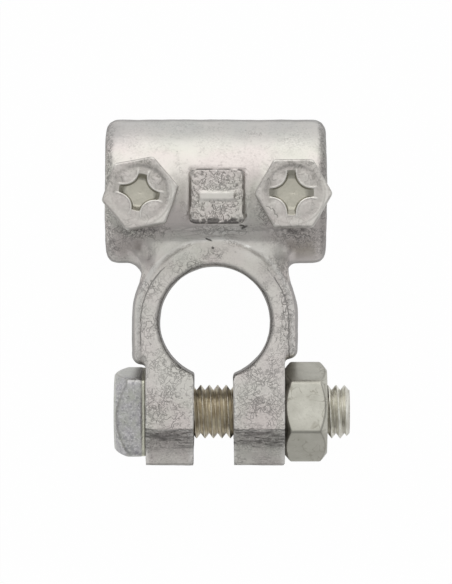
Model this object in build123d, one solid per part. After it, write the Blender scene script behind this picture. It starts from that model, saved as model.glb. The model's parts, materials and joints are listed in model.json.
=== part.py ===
from build123d import *
import math
import os

os.makedirs("parts", exist_ok=True)

# Battery terminal clamp, cast in zinc alloy. A split ring grips the tapered post of the battery, a
# square-headed bolt and its nut pull the two jaws together, and a cross tube holds the bared cable
# under two hexagon screws with a cross recess. Sizes are in millimetres and angles in degrees.
# The origin lies on the axis of the post bore, in the plane of the underside. X runs along the clamp
# bolt towards the nut, Y from the jaws towards the cable tube, and Z up.

# Post ring
post_bore_radius = 8.2
ring_wall = 4.1
ring_height = 16.0
ring_back_shift = 0.8
bore_top_chamfer = 0.35
bore_lead_in = 0.4
wall_draft = 4.0
ring_edge_chamfer = 0.8
neck_half_width = 10.75
neck_blend_radius = 4.0
neck_step = 2.0
shoulder_radius = 1.5

# Jaws, the slot between them and the hole for the clamp bolt
slot_width = 5.75
slot_flare = 0.3
slot_shift = -0.2
head_jaw_thickness = 7.1
nut_jaw_thickness = 7.6
bolt_reach = 13.3
jaw_end_margin = 7.8
jaw_bevel_length = 5.4
jaw_bevel_drop = 4.4
jaw_bevel_bulge = 0.35
jaw_edge_chamfer = 0.2
jaw_overlap = 1.0
bolt_hole_clearance = 0.35
shoulder_clearance = 0.2

# Cable tube across the far end of the ring
tube_radius = 10.6
tube_length = 32.5
tube_reach = 19.3
tube_axis_height = 8.1
tube_shift = 0.15
tube_rim_radius = 1.7
tube_rim_cuts = 3
cable_bore_radius = 5.5
cable_mouth_radius = 6.5
cable_mouth_depth = 0.3
head_side_blend = 2.4
nut_side_blend = 1.2

# Square pad between the cable screws
pad_side = 8.1
pad_setback = 0.9
pad_rise = 0.5
pad_corner_radius = 0.8
pad_edge_chamfer = 0.2

# Clamp bolt with a square head
bolt_radius = 3.95
bolt_end_length = 3.35
bolt_end_chamfer = 0.8
bolt_head_side = 11.8
bolt_head_height = 4.75
bolt_head_corner_radius = 0.7
bolt_head_turn = 8.3
head_face_radius = 5.3
seat_gap = 0.02
corner_chamfer = 30.0
chamfer_margin = 0.5

# Clamp nut
nut_across_flats = 13.0
nut_height = 6.25
nut_face_radius = 6.0
nut_turn = 21.9
nut_countersink = 0.45
thread_clearance = 0.05

# Cable screws
screw_spacing = 22.1
screw_shift = 0.3
screw_setback = 0.7
screw_radius = 3.0
screw_length = 10.0
screw_tip_clearance = 0.2
screw_tip_chamfer = 0.6
screw_seat_rise = 0.5
screw_seat_radius = 4.7
screw_head_across_flats = 9.8
screw_head_height = 4.0
screw_head_corner_radius = 0.4
screw_head_edge_radius = 0.3
dish_radius = 4.4
dish_groove_radius = 4.05
dish_groove_depth = 0.3
dish_slope_width = 0.4
dish_centre_depth = 0.15
recess_span = 5.9
recess_floor_span = 4.3
recess_depth = 1.6
recess_arm_width = 1.2
recess_lobe_radius = 2.3
left_hexagon_turn = 10.5
right_hexagon_turn = 0.0
left_cross_turn = -11.5
right_cross_turn = 0.0

# Places that follow from the sizes above
ring_radius = post_bore_radius + ring_wall
bolt_height = ring_height / 2
pad_reach = tube_reach - pad_setback
screw_reach = tube_reach - screw_setback
tube_crest = tube_axis_height + tube_radius
tube_start = tube_shift - tube_length / 2
tube_end = tube_shift + tube_length / 2
head_jaw_slot_face = slot_shift - slot_width / 2
nut_jaw_slot_face = slot_shift + slot_width / 2
head_jaw_face = head_jaw_slot_face - head_jaw_thickness
nut_jaw_face = nut_jaw_slot_face + nut_jaw_thickness
jaw_end = -bolt_reach - jaw_end_margin
jaw_root = -post_bore_radius / 2
screw_seat_height = tube_crest + screw_seat_rise
screw_head_base = tube_axis_height + cable_bore_radius + screw_tip_clearance + screw_length
screw_places = (screw_shift - screw_spacing / 2, screw_shift + screw_spacing / 2)
screw_hole_radius = screw_radius + thread_clearance
bolt_hole_radius = bolt_radius + bolt_hole_clearance
nut_corner_radius = nut_across_flats / 2 / math.cos(math.radians(30))


def along_x(radius, start, end, y, z):
    """A cylinder that lies along X from start to end."""
    return Pos((start + end) / 2, y, z) * Rot(0, 90, 0) * Cylinder(radius, end - start)


def upright(radius, bottom, top, x, y):
    """A cylinder that stands along Z from bottom to top."""
    return Pos(x, y, (bottom + top) / 2) * Cylinder(radius, top - bottom)


def slab(bottom, top):
    """Everything between two levels."""
    return Pos(0, 0, (bottom + top) / 2) * Box(8 * tube_length, 8 * tube_length, top - bottom)


def drafted(outline, parting, bottom, top):
    """An outline at the parting plane, drawn narrower both up to top and down to bottom."""
    upper = extrude(Pos(0, 0, parting) * outline, top - parting, taper=wall_draft)
    lower = extrude(Pos(0, 0, parting) * outline, bottom - parting, taper=wall_draft)
    return upper + lower


def shoulder_line(half_span):
    """Where a shoulder of the ring ends, clear of the bolt head or the turning nut below it."""
    return -bolt_reach + half_span + shoulder_clearance


def ring_side(shoulder, jaw_face):
    """Right-hand edge of the ring's plan, from inside the jaw up to where its round back begins."""
    inner = ring_radius - shoulder_radius
    return [
        Line((jaw_face - jaw_overlap, shoulder), (inner, shoulder)),
        CenterArc((inner, shoulder + shoulder_radius), shoulder_radius, -90, 90),
        Line((ring_radius, shoulder + shoulder_radius), (ring_radius, ring_back_shift)),
    ]


def post_ring():
    """The ring without its jaws: thicker at the back, with drafted walls and chamfered rims."""
    turn = math.radians(bolt_head_turn)
    head_half_span = bolt_head_side / 2 * (math.cos(turn) + math.sin(turn))
    head_shoulder = shoulder_line(head_half_span)
    nut_shoulder = shoulder_line(nut_corner_radius)
    left = [edge.mirror(Plane.YZ) for edge in ring_side(head_shoulder, -head_jaw_face)]
    inside = Line(
        (head_jaw_face + jaw_overlap, head_shoulder), (nut_jaw_face - jaw_overlap, nut_shoulder)
    )
    back = CenterArc((0, ring_back_shift), ring_radius, 0, 180)
    outline = make_face(Curve() + ring_side(nut_shoulder, nut_jaw_face) + left + [inside, back])
    ring = drafted(outline, tube_axis_height, 0, ring_height)
    rims = ring.faces().sort_by(Axis.Z)[0].edges() + ring.faces().sort_by(Axis.Z)[-1].edges()
    return chamfer(rims, ring_edge_chamfer)


def neck_outline():
    """Plan of the neck between ring and tube, with a hollow curve where it leaves the ring."""
    reach = ring_radius + neck_blend_radius
    blend_x = neck_half_width + neck_blend_radius
    rise = math.sqrt(reach**2 - blend_x**2)
    blend_y = ring_back_shift + rise
    blend_angle = math.degrees(math.atan2(rise, blend_x))
    share = ring_radius / reach
    meeting = (blend_x * share, ring_back_shift + rise * share)
    right = [
        Line((0, 0), meeting),
        CenterArc((blend_x, blend_y), neck_blend_radius, 180, blend_angle),
        Line((neck_half_width, blend_y), (neck_half_width, tube_reach)),
    ]
    left = [edge.mirror(Plane.YZ) for edge in right]
    back = Line((-neck_half_width, tube_reach), (neck_half_width, tube_reach))
    return make_face(Curve() + right + left + [back])


def jaw_profile():
    """Side view of a jaw in the YZ plane: flat above and below, with curved bevels at its end."""
    bevel_start = jaw_end + jaw_bevel_length
    upper = [(bevel_start, ring_height), (jaw_end, ring_height - jaw_bevel_drop)]
    lower = [(jaw_end, jaw_bevel_drop), (bevel_start, 0)]
    sides = [
        Line((jaw_root, ring_height), upper[0]),
        SagittaArc(upper[0], upper[1], -jaw_bevel_bulge),
        Line(upper[1], lower[0]),
        SagittaArc(lower[0], lower[1], -jaw_bevel_bulge),
        Line(lower[1], (jaw_root, 0)),
        Line((jaw_root, 0), (jaw_root, ring_height)),
    ]
    return Plane.YZ * make_face(Curve() + sides)


def jaws():
    """Both jaws as one block, before the slot parts them."""
    block = extrude(Pos(nut_jaw_face, 0, 0) * jaw_profile(), head_jaw_face - nut_jaw_face)
    ends = [e for e in block.edges() if e.center().Y < jaw_end + jaw_bevel_length and not is_along_x(e)]
    return chamfer(ends, jaw_edge_chamfer)


def is_along_x(edge):
    """Whether an edge runs along X."""
    return abs(edge.tangent_at(0.5).X) > 0.99


def cable_tube():
    """The cross tube, turned in one piece and cut flat where it stands."""
    left = tube_rim(tube_start, 1)
    right = tube_rim(tube_end, -1)
    profile = make_face(Polyline((tube_start, 0), *left, *reversed(right), (tube_end, 0), close=True))
    tube = Pos(0, tube_reach, tube_axis_height) * revolve(profile, Axis.X, 360)
    return tube & slab(0, 2 * tube_crest)


def tube_rim(end, inward):
    """Points of a rim from the end face round to the wall, rounded in a few straight cuts."""
    points = []
    for cut in range(tube_rim_cuts + 1):
        angle = math.radians(90 * cut / tube_rim_cuts)
        along = end + inward * tube_rim_radius * (1 - math.sin(angle))
        points.append((along, tube_radius - tube_rim_radius * (1 - math.cos(angle))))
    return points[::-1]


def neck_blend(side, radius):
    """Hollow blend between one side of the neck and the round wall of the tube."""
    wall = tube_reach - tube_radius
    corner = (side * (neck_half_width + radius), wall)
    edges = [
        Line((0, wall), corner),
        CenterArc((corner[0], wall - radius), radius, 90, side * 90),
        Line((side * neck_half_width, wall - radius), (0, wall - radius)),
        Line((0, wall - radius), (0, wall)),
    ]
    profile = Pos(0, 0, tube_axis_height) * make_face(Curve() + edges)
    tube_axis = Axis((0, tube_reach, tube_axis_height), (1, 0, 0))
    return revolve(profile, tube_axis, 360)


def neck():
    """The lower step between ring and tube, blended into the tube on both sides."""
    block = extrude(neck_outline(), ring_height)
    blends = neck_blend(-1, head_side_blend) + neck_blend(1, nut_side_blend)
    behind = Pos(0, tube_reach + tube_length, 0) * Box(
        4 * tube_length, 2 * tube_length, 8 * tube_radius
    )
    return (block + (blends - behind)) & slab(neck_step, ring_height - neck_step)


def post_bore():
    """The bore for the battery post, with a chamfer above and a lead-in below."""
    bore = upright(post_bore_radius, 0, ring_height, 0, 0)
    lead_in = Pos(0, 0, bore_lead_in / 2) * Cone(
        post_bore_radius + bore_lead_in / 2, post_bore_radius, bore_lead_in
    )
    chamfer = Pos(0, 0, ring_height - bore_top_chamfer / 2) * Cone(
        post_bore_radius, post_bore_radius + bore_top_chamfer, bore_top_chamfer
    )
    return bore + lead_in + chamfer


def slot():
    """The gap between the jaws, slightly wider at their ends."""
    root = slot_width / 2
    mouth = (slot_width + slot_flare) / 2
    outline = Polyline(
        (-root, 0), (root, 0), (root, -post_bore_radius), (mouth, jaw_end - jaw_overlap),
        (-mouth, jaw_end - jaw_overlap), (-root, -post_bore_radius), close=True,
    )
    return Pos(slot_shift, 0, 0) * extrude(make_face(outline), ring_height)


def cable_bore():
    """The through hole for the cable, with a shallow round recess at each mouth."""
    y, z = tube_reach, tube_axis_height
    hole = along_x(cable_bore_radius, tube_start, tube_end, y, z)
    left = along_x(cable_mouth_radius, tube_start, tube_start + cable_mouth_depth, y, z)
    right = along_x(cable_mouth_radius, tube_end - cable_mouth_depth, tube_end, y, z)
    return hole + left + right


def pad():
    """The raised square between the screws, flat on top."""
    bottom = tube_axis_height + (tube_radius + cable_bore_radius) / 2
    top = tube_crest + pad_rise
    outline = RectangleRounded(pad_side, pad_side, pad_corner_radius)
    block = extrude(Pos(screw_shift, pad_reach, bottom) * outline, top - bottom)
    return chamfer(block.faces().sort_by(Axis.Z)[-1].edges(), pad_edge_chamfer)


def terminal_body():
    """The casting: ring, jaws, neck, tube, screw seats and pad, with its bores and its slot."""
    body = post_ring() + jaws() + neck() + cable_tube() + pad()
    for x in screw_places:
        body += upright(screw_seat_radius, tube_axis_height, screw_seat_height, x, screw_reach)
    body -= post_bore()
    body -= slot()
    body -= cable_bore()
    for x in screw_places:
        body -= upright(screw_hole_radius, tube_axis_height, screw_seat_height, x, screw_reach)
    body -= along_x(bolt_hole_radius, head_jaw_face, nut_jaw_face, -bolt_reach, bolt_height)
    return body


def is_round(edge, radius):
    """Whether a circular edge has this radius."""
    return math.isclose(edge.radius, radius, rel_tol=1e-6)


def hexagon(across_flats, height):
    """A hexagonal block on the XY plane, with two of its corners on X."""
    return extrude(RegularPolygon(across_flats / 2, 6, major_radius=False), height)


def turned_corners(face_radius, corner_reach, height):
    """The turned shape that takes the corners off the top of a head or a nut."""
    reach = corner_reach + chamfer_margin
    drop = (reach - face_radius) * math.tan(math.radians(corner_chamfer))
    top = height - drop
    edges = Polyline(
        (0, 0), (reach, 0), (reach, top), (face_radius, height), (0, height), close=True
    )
    return revolve(Plane.XZ * make_face(edges), Axis.Z, 360)


def on_bolt_axis(piece, start, turn):
    """Lay a piece that stands on the XY plane along +X from start, turned about the bolt."""
    return Pos(start, -bolt_reach, bolt_height) * Rot(turn, 0, 0) * Rot(0, 90, 0) * piece


def clamp_bolt():
    """Square head with turned corners, and the shank with a chamfered end."""
    corner_reach = bolt_head_side / math.sqrt(2)
    head = extrude(
        RectangleRounded(bolt_head_side, bolt_head_side, bolt_head_corner_radius), bolt_head_height
    )
    head &= turned_corners(head_face_radius, corner_reach, bolt_head_height)
    bearing = head_jaw_face - seat_gap
    head = Pos(bearing, -bolt_reach, bolt_height) * Rot(bolt_head_turn, 0, 0) * Rot(0, -90, 0) * head
    end = nut_jaw_face + seat_gap + nut_height + bolt_end_length
    shank = along_x(bolt_radius, bearing - seat_gap, end, -bolt_reach, bolt_height)
    rim = shank.edges().filter_by(GeomType.CIRCLE).sort_by(Axis.X)[-1]
    return head + chamfer(rim, bolt_end_chamfer)


def clamp_nut():
    """Hexagon nut with both faces chamfered and a countersink at each end of its thread."""
    corners = turned_corners(nut_face_radius, nut_corner_radius, nut_height)
    other_way = Pos(0, 0, nut_height) * Rot(180, 0, 0) * corners
    nut = hexagon(nut_across_flats, nut_height) & corners & other_way
    hole_radius = bolt_radius + thread_clearance
    nut -= Pos(0, 0, nut_height / 2) * Cylinder(hole_radius, nut_height)
    rims = nut.edges().filter_by(GeomType.CIRCLE).filter_by(lambda rim: is_round(rim, hole_radius))
    nut = chamfer(rims, nut_countersink)
    return on_bolt_axis(nut, nut_jaw_face + seat_gap, nut_turn)


def cross_recess():
    """The cross that a driver turns: four arms between round lobes, narrowing to a flat floor."""
    lobe = (recess_arm_width / 2 + recess_lobe_radius) * math.sqrt(2)
    cross = Circle(recess_span / 2)
    for lobe_place in PolarLocations(lobe, 4, 45):
        cross -= lobe_place * Circle(recess_lobe_radius)
    top = screw_head_height - dish_centre_depth
    bottom = top - recess_depth
    limit = Pos(0, 0, (top + bottom) / 2) * Cone(recess_floor_span / 2, recess_span / 2, recess_depth)
    over = Pos(0, 0, (top + screw_head_height) / 2) * Cylinder(recess_span / 2, dish_centre_depth)
    return extrude(Pos(0, 0, bottom) * cross, screw_head_height - bottom) & (limit + over)


def dish():
    """The sunken top of a screw head: a round groove about a low dome."""
    top = screw_head_height
    centre = top - dish_centre_depth
    edges = Polyline(
        (dish_radius, top), (dish_groove_radius, top - dish_groove_depth),
        (dish_groove_radius - dish_slope_width, centre), (0, centre), (0, top), close=True,
    )
    return revolve(Plane.XZ * make_face(edges), Axis.Z, 360)


def cable_screw(x, hexagon_turn, cross_turn):
    """Hexagon head with a sunken top and a cross recess, on a shank that reaches into the tube."""
    head = hexagon(screw_head_across_flats, screw_head_height)
    head = fillet(head.edges().filter_by(Axis.Z), screw_head_corner_radius)
    head = fillet(head.faces().sort_by(Axis.Z)[-1].edges(), screw_head_edge_radius)
    head -= dish()
    head = Rot(0, 0, hexagon_turn) * head - Rot(0, 0, cross_turn) * cross_recess()
    shank = Pos(0, 0, -screw_length / 2) * Cylinder(screw_radius, screw_length)
    tip = shank.edges().filter_by(GeomType.CIRCLE).sort_by(Axis.Z)[0]
    screw = head + chamfer(tip, screw_tip_chamfer)
    return Pos(x, screw_reach, screw_head_base) * screw


pieces = {
    "terminal_body": terminal_body(),
    "clamp_bolt": clamp_bolt(),
    "clamp_nut": clamp_nut(),
    "left_cable_screw": cable_screw(screw_places[0], left_hexagon_turn, left_cross_turn),
    "right_cable_screw": cable_screw(screw_places[1], right_hexagon_turn, right_cross_turn),
}
for name, piece in pieces.items():
    export_step(piece, f"parts/{name}.step")
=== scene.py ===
import json
import math

import bmesh
import bpy
import numpy as np
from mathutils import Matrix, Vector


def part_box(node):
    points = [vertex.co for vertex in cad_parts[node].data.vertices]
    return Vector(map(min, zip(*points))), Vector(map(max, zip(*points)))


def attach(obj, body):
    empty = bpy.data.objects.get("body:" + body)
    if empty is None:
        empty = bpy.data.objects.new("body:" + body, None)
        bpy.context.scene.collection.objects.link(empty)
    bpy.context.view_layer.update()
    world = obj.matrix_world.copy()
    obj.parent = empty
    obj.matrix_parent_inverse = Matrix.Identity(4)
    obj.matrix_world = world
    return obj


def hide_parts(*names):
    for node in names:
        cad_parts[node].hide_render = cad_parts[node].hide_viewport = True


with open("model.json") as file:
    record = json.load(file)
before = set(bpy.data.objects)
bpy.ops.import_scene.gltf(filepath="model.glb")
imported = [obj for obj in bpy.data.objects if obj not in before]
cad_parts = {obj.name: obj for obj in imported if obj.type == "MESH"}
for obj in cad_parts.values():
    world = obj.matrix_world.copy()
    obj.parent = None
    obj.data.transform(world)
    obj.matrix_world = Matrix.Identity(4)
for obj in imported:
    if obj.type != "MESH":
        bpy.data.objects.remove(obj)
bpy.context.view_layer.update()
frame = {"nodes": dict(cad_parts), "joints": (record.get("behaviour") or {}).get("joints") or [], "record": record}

# The clamp lies flat as on a bench and is seen from straight above, from far enough that its walls
# hardly show. One pixel of the picture is 0.148 mm of the clamp at the height of its cross bolt.
mm = 0.001
pixel = 0.148
picture_height = 584
view_centre = (1.63, 4.4)
view_distance = 700.0
bolt_axis = np.array(frame["joints"][0]["pos_m"]) / mm
camera_data = bpy.data.cameras.new("bench_camera")
camera_data.sensor_width = 36.0
camera_data.lens = camera_data.sensor_width * view_distance / (picture_height * pixel)


def in_scene(name, data):
    """A new object that holds this data, in the scene."""
    thing = bpy.data.objects.new(name, data)
    bpy.context.scene.collection.objects.link(thing)
    return thing


camera = in_scene("bench_camera", camera_data)
camera.location = (view_centre[0] * mm, view_centre[1] * mm, (bolt_axis[2] + view_distance) * mm)
bpy.context.scene.camera = camera
bpy.context.scene.view_settings.view_transform = "Standard"

# The casting: ring, jaws, neck, cable tube and pad are one zinc die casting, as it leaves the die.
# Its skin is satin grey, smooth where the metal flowed freely and pitted, crazed and scratched
# where the die was worn, and its edges are softly rounded.
skin_cell = 0.32
skin_softening = 2
joint_softening = 28
rim_softening = 12
mounts = {mount["name"]: mount for mount in frame["record"]["mounts"]}
post_bore_radius = mounts["post_bore"]["dims"]["r_mm"]
tube_x, tube_y, tube_z = np.array(mounts["cable_bore"]["pos_m"]) / mm


def corners(node):
    """Lowest and highest corner of a solid, in millimetres."""
    return np.array(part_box(node)) / mm


body_low, body_high = corners("terminal_body")
tube_radius = body_high[1] - tube_y
ring_top = 2 * bolt_axis[2]
ring_back_shift = 0.8
joint_fill_height = ring_top - 0.25
jaw_end = body_low[1]
jaw_root = (-7.0, -9.0)
screw_axes = [corners(f"{side}_cable_screw").mean(axis=0)[:2] for side in ("left", "right")]
pad_centre = np.array([(screw_axes[0][0] + screw_axes[1][0]) / 2, 18.4])
pad_side = 8.1
pad_rise = 0.5
pad_top = tube_z + tube_radius + pad_rise
pad_border = 0.35


def step(value, start, end):
    """From 0 at start to 1 at end along 3t^2 - 2t^3, level outside them."""
    t = np.clip((value - start) / (end - start), 0, 1)
    return t * t * (3 - 2 * t)


def window(value, rise_start, rise_end, fall_start, fall_end):
    """1 between rise_end and fall_start, with a soft step down to 0 on either side."""
    return step(value, rise_start, rise_end) * step(value, fall_end, fall_start)


def line_at(value, centre, core, reach):
    """1 within core of a centre, with a soft step down to 0 at reach from it."""
    return step(np.abs(value - centre), reach, core)


def most(*masks):
    """The largest of several masks, each given with its strength."""
    return np.max([strength * mask for strength, mask in masks], axis=0)


def patch(points, x, y, half_x, half_y):
    """A soft spot in plan, exp(-(dx/half_x)^2 - (dy/half_y)^2), the same at every height."""
    return np.exp(-(((points[:, 0] - x) / half_x) ** 2) - ((points[:, 1] - y) / half_y) ** 2)


def spotted(points, share, spots):
    """A share raised to each spot's amount within that spot: x, y, half widths and amount."""
    for *place, amount in spots:
        share = np.maximum(share, amount * patch(points, *place))
    return share


def ripples(points, size, seed, waves=28):
    """Unevenness of about -1 to 1: a sum of cosine waves, each about size long in its own direction."""
    draw = np.random.default_rng(seed)
    ways = draw.normal(size=(waves, 3))
    ways /= np.linalg.norm(ways, axis=1)[:, None] * size * draw.uniform(0.7, 1.7, (waves, 1))
    return np.cos(2 * np.pi * (points @ ways.T + draw.random(waves))).sum(axis=1) / math.sqrt(waves)


def neighbour_mean(values, edges):
    """Mean of each vertex's neighbours: the sum over the edges that meet it, over their number."""
    count = np.bincount(edges.ravel(), minlength=len(values))
    sums = [
        np.bincount(edges[:, 0], column[edges[:, 1]], len(values))
        + np.bincount(edges[:, 1], column[edges[:, 0]], len(values))
        for column in values.T
    ]
    return np.stack(sums, axis=1) / np.maximum(count, 1)[:, None]


def read(rows, name, width, kind=float):
    """One property of a mesh's rows, as an array so many columns wide."""
    values = np.empty(len(rows) * width, kind)
    rows.foreach_get(name, values)
    return values.reshape(-1, width)


def mesh_arrays(mesh):
    """Points of a mesh in millimetres, its normals and its edges."""
    normals = read(mesh.vertex_normals, "vector", 3)
    return read(mesh.vertices, "co", 3) / mm, normals, read(mesh.edges, "vertices", 2, int)


def move(mesh, points):
    """Puts a mesh's vertices at points in millimetres."""
    mesh.vertices.foreach_set("co", (points * mm).ravel())
    mesh.update()


def bend_of(points, normals, edges, spread):
    """How far each vertex stands out from its neighbours along its normal, smoothed spread times."""
    stand = ((points - neighbour_mean(points, edges)) * normals).sum(axis=1)[:, None]
    for _ in range(spread):
        stand = (stand + neighbour_mean(stand, edges)) / 2
    return stand[:, 0]


def cast_skin(node):
    """An even skin over a solid: its merged surface as a voxel grid, as it comes."""
    solid = bmesh.new()
    solid.from_mesh(frame["nodes"][node].data)
    bmesh.ops.remove_doubles(solid, verts=solid.verts, dist=1e-7)
    merged = bpy.data.meshes.new(f"{node}_merged")
    solid.to_mesh(merged)
    solid.free()
    carrier = in_scene(f"{node}_carrier", merged)
    voxels = carrier.modifiers.new("voxels", "REMESH")
    voxels.mode = "VOXEL"
    voxels.voxel_size = skin_cell * mm
    seen = carrier.evaluated_get(bpy.context.evaluated_depsgraph_get())
    skin = bpy.data.meshes.new_from_object(seen)
    bpy.data.objects.remove(carrier)
    bpy.data.meshes.remove(merged)
    return skin


def softened(points, edges, share, rounds):
    """Points moved half-way to their neighbours' mean, times share, for so many rounds."""
    for _ in range(rounds):
        points = points + 0.5 * share[:, None] * (neighbour_mean(points, edges) - points)
    return points


joint_reach = (10.6, 11.8, 14.5, 16.0)
joint_aside = (3.0, 5.0, 9.6, 10.6)
joint_front = (2.5, 6.0)
joint_level = (12.8, 13.6)


def joint_share(points):
    """1 in the hollows where the ring's thick back runs into the tube, 0 elsewhere, with soft borders."""
    x, y, z = points.T
    around = window(np.hypot(x, y - ring_back_shift), *joint_reach) * step(y, *joint_front)
    return around * window(np.abs(x), *joint_aside) * step(z, *joint_level)


def tube_crest(y):
    """Height of the tube's round top at y: its axis height plus sqrt(R^2 - (y - axis)^2)."""
    return tube_z + np.sqrt(np.maximum(tube_radius**2 - (y - tube_y) ** 2, 0))


def off_pad(points):
    """How far each point lies outside the pad's square in plan, less than 0 within it."""
    return np.abs(points[:, :2] - pad_centre).max(axis=1) - pad_side / 2


tube_front = (9.0, 10.5)
end_band = (14.6, 15.5)
end_face = (16.0, 16.35)


def end_share(points):
    """1 in the two bands at the tube's ends, half on its end faces and 0 elsewhere, with soft borders."""
    aside = np.abs(points[:, 0] - tube_x)
    band = step(aside, *end_band) * (1 - 0.5 * step(aside, *end_face))
    return band * step(points[:, 1], *tube_front)


tube_upper = (10.0, 14.0)
coarse_bevel = (1.4, 3.4, 5.0, 5.5)
coarse_spots = (
    (-11.5, 13.2, 5.0, 1.3, 0.5),
    (12.2, 12.9, 5.0, 1.8, 0.55),
    (-15.4, 11.0, 1.3, 2.4, 0.7),
    (15.3, 11.0, 1.3, 2.4, 0.6),
    (0.8, 13.1, 6.5, 0.9, 0.3),
    (6.5, 17.0, 0.9, 2.6, 0.5),
    (10.6, -0.8, 1.2, 7.0, 0.7),
    (8.2, 7.0, 2.6, 2.4, 0.5),
)


def coarse_share(points):
    """How coarse the skin is, 0 to 1: by region, with soft spots in plan and broad unevenness."""
    on_tube = step(points[:, 1], *tube_front) * step(points[:, 2], *tube_upper)
    share = spotted(points, 0.24 - 0.08 * on_tube + 0.10 * ripples(points, 6.0, 11), coarse_spots)
    bevelled = window(points[:, 1] - jaw_end, *coarse_bevel)
    return np.clip(most((1, share), (0.62, end_share(points)), (1, bevelled)), 0, 1)


lined_front = (7.5, 10.0)
lined_spots = (
    (-11.0, 13.3, 6.0, 1.8, 1.05),
    (12.0, 12.9, 5.6, 2.1, 0.98),
    (-15.2, 11.0, 1.6, 3.0, 0.95),
    (7.3, 15.2, 1.6, 2.8, 0.85),
    (0.8, 13.4, 7.2, 1.2, 0.8),
    (-0.5, 9.9, 5.5, 1.3, 0.55),
    (6.5, 17.0, 1.0, 3.0, 0.6),
    (4.6, 21.5, 0.8, 2.0, 0.5),
    (10.4, 0.5, 1.6, 8.0, 0.9),
    (-6.9, -12.6, 5.6, 6.6, 0.80),
    (7.0, -12.0, 5.8, 6.8, 0.79),
)


def lined_share(points):
    """How many fine dark lines the skin shows, 0 to 1: most on the jaws and under the screws."""
    share = 0.50 - 0.28 * step(points[:, 1], *lined_front) + 0.18 * ripples(points, 4.0, 12)
    return np.clip(most((1, spotted(points, share, lined_spots)), (0.8, end_share(points))), 0, 1)


seat_gap = 0.02
bolt_head_height = 4.75
bolt_seat = corners("clamp_bolt")[0][0] + bolt_head_height + seat_gap
nut_seat = corners("clamp_nut")[0][0] - seat_gap
slot_width = 5.75
slot_flare = 0.3
slot_middle = -0.2
slot_start = -post_bore_radius - 0.6
square_reach = 0.2
on_face = 0.03


def off_jaw_faces(points):
    """How far each point is from the jaws' flat faces, as columns: two outsides, slot, end, top, bottom."""
    x, y, z = points.T
    way = np.clip((-post_bore_radius - y) / (-post_bore_radius - jaw_end), 0, 1)
    half_slot = (slot_width + slot_flare * way) / 2
    in_ring = np.where(y < slot_start, 0, np.inf)
    off_slot = x - slot_middle
    return np.stack([
        x - bolt_seat, x - nut_seat, off_slot + half_slot + in_ring, off_slot - half_slot + in_ring,
        y - jaw_end, z - ring_top, z,
    ], axis=1)


def square_jaws(skin):
    """Pulls the skin of the jaws onto their flat faces, so that the corners between them stay crisp."""
    points, _, _ = mesh_arrays(skin)
    in_jaws = points[:, 1] < -post_bore_radius
    away = off_jaw_faces(points)
    away[(np.abs(away) > square_reach) | ~in_jaws[:, None]] = 0
    points[:, 0] -= away[:, :4].sum(axis=1)
    points[:, 1] -= away[:, 4]
    points[:, 2] -= away[:, 5:].sum(axis=1)
    move(skin, points)
    squared = bmesh.new()
    squared.from_mesh(skin)
    jaw_points = [vertex for vertex in squared.verts if vertex.co.y < -post_bore_radius * mm]
    bmesh.ops.remove_doubles(squared, verts=jaw_points, dist=on_face * mm)
    squared.to_mesh(skin)
    squared.free()


skin = cast_skin("terminal_body")
points, _, edges = mesh_arrays(skin)
points = softened(points, edges, 1 - 0.75 * step(points[:, 1], *jaw_root), skin_softening)
points = softened(points, edges, end_share(points), rim_softening)
in_joint = joint_share(points)
points[:, 2] += in_joint * np.maximum(joint_fill_height - points[:, 2], 0)
points = softened(points, edges, in_joint, joint_softening)
outside = off_pad(points)
sunk = (outside < pad_border) & (points[:, 2] > tube_crest(points[:, 1]) - 0.05)
points[sunk, 2] = tube_crest(points[sunk, 1]) - 0.10 * step(outside[sunk], 0.05, -0.3)
move(skin, points)
square_jaws(skin)
skin.update()
points, normals, edges = mesh_arrays(skin)
jaw_edge = (np.abs(off_jaw_faces(points)) < on_face).sum(axis=1) > 1
coarse = coarse_share(points)
relief = 0.030 * ripples(points, 5.5, 21) + 0.014 * ripples(points, 2.2, 22)
relief += coarse * (0.022 * ripples(points, 1.0, 23) + 0.018 * ripples(points, 0.7, 24))
relief[off_pad(points) < pad_border] *= 0.2
points += normals * relief[:, None]
points[:, 2] = np.maximum(points[:, 2], body_low[2])
move(skin, points)
skin_points, skin_normals, _ = mesh_arrays(skin)
stand = bend_of(skin_points, skin_normals, edges, 2)
skin_faces = [list(face.vertices) for face in skin.polygons]

pad_cell = 0.075
pad_corner_sharpness = 11
pad_edge_radius = 0.28
pad_wall_bottom = pad_top - 1.9
pad_wall_rows = 6
pad_wall_shade = 0.38
bar_half = (2.6, 0.56)
bar_corner = 0.3
bar_height = 0.16


def bar_mask(x, y):
    """1 on the bar and 0 off it, across a soft edge, by the distance to a rounded rectangle."""
    dx = np.abs(x) - bar_half[0] + bar_corner
    dy = np.abs(y) - bar_half[1] + bar_corner
    away = np.hypot(np.maximum(dx, 0), np.maximum(dy, 0)) + np.minimum(np.maximum(dx, dy), 0)
    return step(away - bar_corner, 0.42, -0.3)


def numbered(grid, around, along):
    """Numbers of a grid's points, its first row or column again at the end where it closes."""
    numbers = np.arange(grid.shape[0] * grid.shape[1]).reshape(grid.shape[:2])
    return np.pad(numbers, ((0, around), (0, along)), "wrap")


def quads_of(numbers):
    """Quads between the neighbours in a grid of point numbers."""
    quads = [numbers[:-1, :-1], numbers[1:, :-1], numbers[1:, 1:], numbers[:-1, 1:]]
    return np.stack(quads, axis=-1).reshape(-1, 4)


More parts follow.
